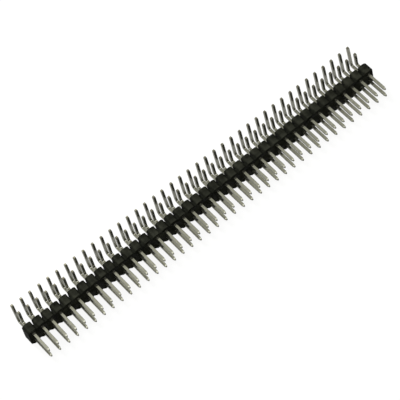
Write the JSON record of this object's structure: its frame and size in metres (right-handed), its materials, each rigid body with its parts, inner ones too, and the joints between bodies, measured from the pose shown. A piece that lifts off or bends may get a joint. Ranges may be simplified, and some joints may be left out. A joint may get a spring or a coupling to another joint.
{
  "type": "pin header strip",
  "caption": "Double-row right-angle pin header strip: black moulding of bevelled cells with square tinned pins, mating ends forward and solder tails bent up.",
  "frame": {"origin": "middle of the whole outline, mating tips to the backs of the far tails, on the surface that the moulding's long side stands on", "axes": "+X along the strip, -Y the way the mating pins point, +Z the way the solder tails point"},
  "size_m": [0.1016, 0.0132, 0.0081],
  "materials": {
    "moulding": "satin",
    "tinned_pin": "bright tin plate over brass"
  },
  "bodies": {
    "root": {"insulator": "moulding", "pin_pair_01": "tinned_pin", "pin_pair_02": "tinned_pin", "pin_pair_03": "tinned_pin", "pin_pair_04": "tinned_pin", "pin_pair_05": "tinned_pin", "pin_pair_06": "tinned_pin", "pin_pair_07": "tinned_pin", "pin_pair_08": "tinned_pin", "pin_pair_09": "tinned_pin", "pin_pair_10": "tinned_pin", "pin_pair_11": "tinned_pin", "pin_pair_12": "tinned_pin", "pin_pair_13": "tinned_pin", "pin_pair_14": "tinned_pin", "pin_pair_15": "tinned_pin", "pin_pair_16": "tinned_pin", "pin_pair_17": "tinned_pin", "pin_pair_18": "tinned_pin", "pin_pair_19": "tinned_pin", "pin_pair_20": "tinned_pin", "pin_pair_21": "tinned_pin", "pin_pair_22": "tinned_pin", "pin_pair_23": "tinned_pin", "pin_pair_24": "tinned_pin", "pin_pair_25": "tinned_pin", "pin_pair_26": "tinned_pin", "pin_pair_27": "tinned_pin", "pin_pair_28": "tinned_pin", "pin_pair_29": "tinned_pin", "pin_pair_30": "tinned_pin", "pin_pair_31": "tinned_pin", "pin_pair_32": "tinned_pin", "pin_pair_33": "tinned_pin", "pin_pair_34": "tinned_pin", "pin_pair_35": "tinned_pin", "pin_pair_36": "tinned_pin", "pin_pair_37": "tinned_pin", "pin_pair_38": "tinned_pin", "pin_pair_39": "tinned_pin", "pin_pair_40": "tinned_pin"}
  },
  "joints": []
}
